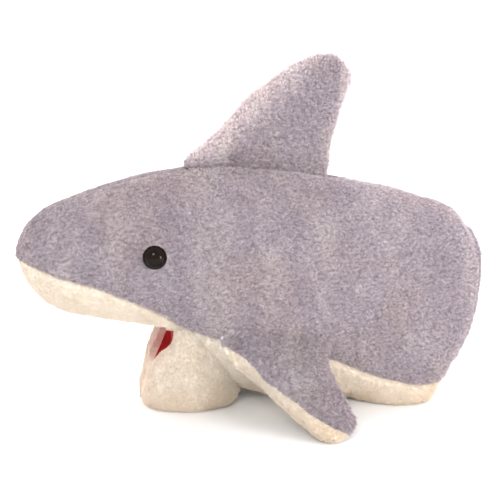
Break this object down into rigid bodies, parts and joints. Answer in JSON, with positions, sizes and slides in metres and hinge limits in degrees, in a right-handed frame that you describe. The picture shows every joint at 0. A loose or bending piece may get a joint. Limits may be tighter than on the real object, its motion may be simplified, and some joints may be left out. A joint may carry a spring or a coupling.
{
  "type": "plush shark hand puppet",
  "caption": "Plush shark hand puppet with an open rear sleeve, a thumb-worked lower jaw, a dorsal fin and two side fins.",
  "frame": {"origin": "on the surface the puppet stands on, under the middle of its bounding box", "axes": "the nose points to -X, the rear sleeve opens to +X, the back is +Z and the shark's left side is -Y"},
  "size_m": [0.2738, 0.192, 0.2068],
  "materials": {
    "grey_plush": "short pile plush",
    "cream_plush": "short pile plush",
    "red_felt": "brushed felt",
    "lining_cloth": "woven polyester",
    "stuffing": "polyester fibre fill",
    "foam": "thin foam sheet",
    "eye_plastic": "gloss",
    "washer_plastic": "matte"
  },
  "bodies": {
    "torso": {"back_panel_left": "grey_plush", "back_panel_right": "grey_plush", "snout_underside": "cream_plush", "mouth_roof": "red_felt", "upper_mouth_board": "foam", "belly_panel": "cream_plush", "mouth_fold": "red_felt", "hand_lining": "lining_cloth", "body_stuffing": "stuffing", "left_eye": "eye_plastic", "left_eye_washer": "washer_plastic", "right_eye": "eye_plastic", "right_eye_washer": "washer_plastic", "back_hem": "grey_plush", "belly_hem": "cream_plush"},
    "lower_jaw": {"jaw_skin": "cream_plush", "jaw_lining": "red_felt", "jaw_stuffing": "stuffing", "thumb_pocket": "lining_cloth"},
    "dorsal_fin": {"dorsal_fin_left_panel": "grey_plush", "dorsal_fin_right_panel": "grey_plush", "dorsal_fin_stuffing": "stuffing"},
    "left_side_fin": {"left_fin_top_panel": "grey_plush", "left_fin_under_panel": "cream_plush", "left_fin_stuffing": "stuffing"},
    "right_side_fin": {"right_fin_top_panel": "grey_plush", "right_fin_under_panel": "cream_plush", "right_fin_stuffing": "stuffing"}
  },
  "joints": [
    {"name": "jaw_hinge", "type": "hinge", "parent": "torso", "child": "lower_jaw", "pos_m": [-0.053, 0, 0.042], "axis": [0, 1, 0], "range_deg": [0, 60], "stiffness_Nm_per_rad": 0.02},
    {"name": "dorsal_fin_sway", "type": "hinge", "parent": "torso", "child": "dorsal_fin", "pos_m": [-0.025, 0, 0.144], "axis": [0.9932, 0, -0.1161], "range_deg": [-20, 20], "stiffness_Nm_per_rad": 0.15},
    {"name": "left_fin_flap", "type": "hinge", "parent": "torso", "child": "left_side_fin", "pos_m": [-0.017, -0.054, 0.042], "axis": [-0.9884, 0.0329, 0.1483], "range_deg": [-15, 60], "stiffness_Nm_per_rad": 0.03},
    {"name": "right_fin_flap", "type": "hinge", "parent": "torso", "child": "right_side_fin", "pos_m": [-0.017, 0.054, 0.042], "axis": [0.9884, 0.0329, -0.1483], "range_deg": [-15, 60], "stiffness_Nm_per_rad": 0.03}
  ]
}
